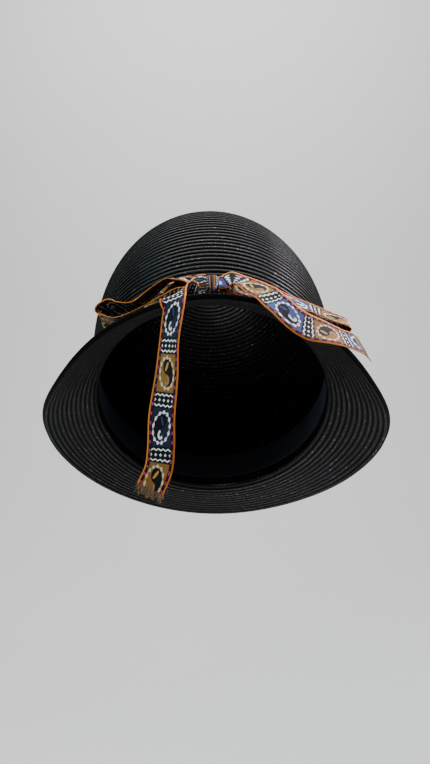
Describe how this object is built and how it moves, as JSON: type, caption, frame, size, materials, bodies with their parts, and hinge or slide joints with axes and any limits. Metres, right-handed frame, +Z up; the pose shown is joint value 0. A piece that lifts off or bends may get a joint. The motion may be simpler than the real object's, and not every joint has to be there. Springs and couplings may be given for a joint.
{
  "type": "cloche hat",
  "caption": "Close-fitting hat of sewn black straw braid with a rounded crown, a drooping brim, a sweatband and a woven ribbon tied in a bow at the front.",
  "frame": {"origin": "centre of the head opening, where the crown meets the brim, which is where a head holds the hat", "axes": "+Z up and -Y to the front, as the hat is shown: tipped back, its crown pointing up and to the back; +X to the right of someone who looks at its front"},
  "size_m": [0.2446, 0.2604, 0.2402],
  "materials": {
    "black_straw": "glossy natural straw braid, dyed black",
    "navy_cloth": "matte dark navy cloth",
    "woven_ribbon": "patterned jacquard weave with orange selvedges"
  },
  "bodies": {
    "root": {"straw_body": "black_straw", "sweatband": "navy_cloth", "ribbon_band": "woven_ribbon", "bow_knot": "woven_ribbon", "left_loop": "woven_ribbon", "right_loop": "woven_ribbon", "left_tail": "woven_ribbon", "right_tail": "woven_ribbon"}
  },
  "joints": []
}
